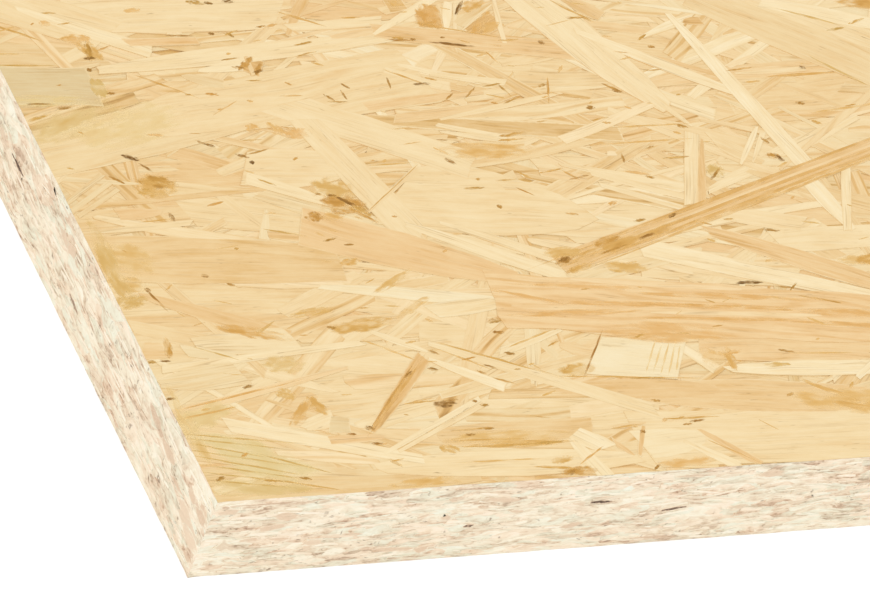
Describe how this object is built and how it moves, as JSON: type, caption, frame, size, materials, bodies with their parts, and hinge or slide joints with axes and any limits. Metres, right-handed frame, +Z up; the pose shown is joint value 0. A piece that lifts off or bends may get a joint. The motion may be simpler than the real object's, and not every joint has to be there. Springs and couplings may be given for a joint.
{
  "type": "oriented strand board panel",
  "caption": "Flat rectangular sheet of pressed wood strands with plain sawn square edges, laid or fixed as decking, sheathing or shelving.",
  "frame": {"origin": "middle of the underside", "axes": "+X along the panel's length and the run of its face strands, +Y across its width, +Z up out of the upper face"},
  "size_m": [2.5, 1.25, 0.018],
  "materials": {
    "pressed_strands": "raw pressed softwood strands, matt, unsanded"
  },
  "bodies": {
    "root": {"osb_panel": "pressed_strands"}
  },
  "joints": []
}
